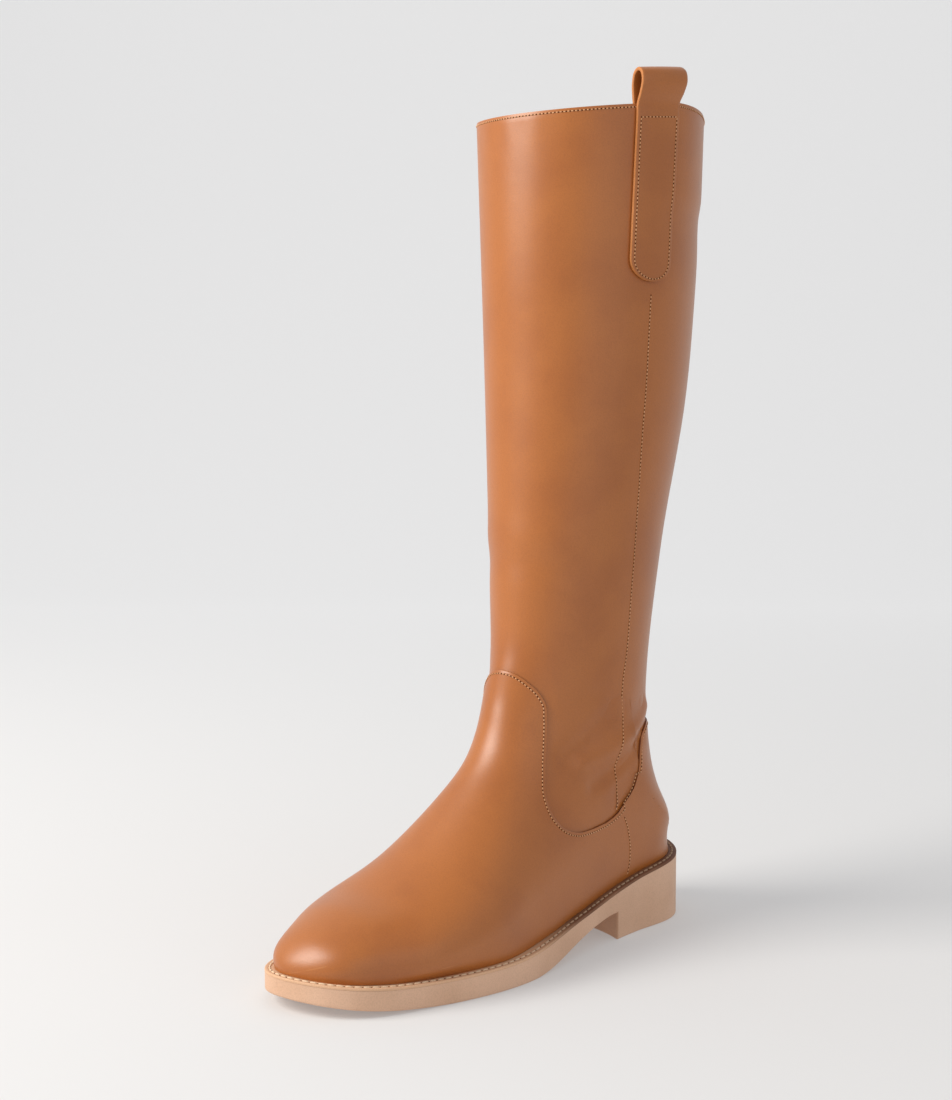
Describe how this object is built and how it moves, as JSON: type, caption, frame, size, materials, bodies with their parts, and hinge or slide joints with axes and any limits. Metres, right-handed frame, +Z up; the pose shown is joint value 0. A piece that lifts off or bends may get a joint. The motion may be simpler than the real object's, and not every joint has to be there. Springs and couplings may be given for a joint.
{
  "type": "knee-high boot",
  "caption": "Knee-high pull-on boot with almond toe, plain foot panel, stitched welt, low block heel and a pull loop at the collar.",
  "frame": {"origin": "on the floor, at the middle of the heel's flat bottom", "axes": "+Z up along the shaft; the toe points to -Y; +X is the outer side of the left foot"},
  "size_m": [0.1234, 0.2815, 0.453],
  "materials": {
    "leather": "smooth tan calf leather, soft sheen",
    "insole_leather": "plain natural lining leather, matte",
    "welt_leather": "natural welt leather, matte, stitched",
    "sole_rubber": "moulded rubber, matte beige"
  },
  "bodies": {
    "root": {"upper": "leather", "insole": "insole_leather", "welt": "welt_leather", "outsole": "sole_rubber", "pull_loop": "leather"}
  },
  "joints": []
}
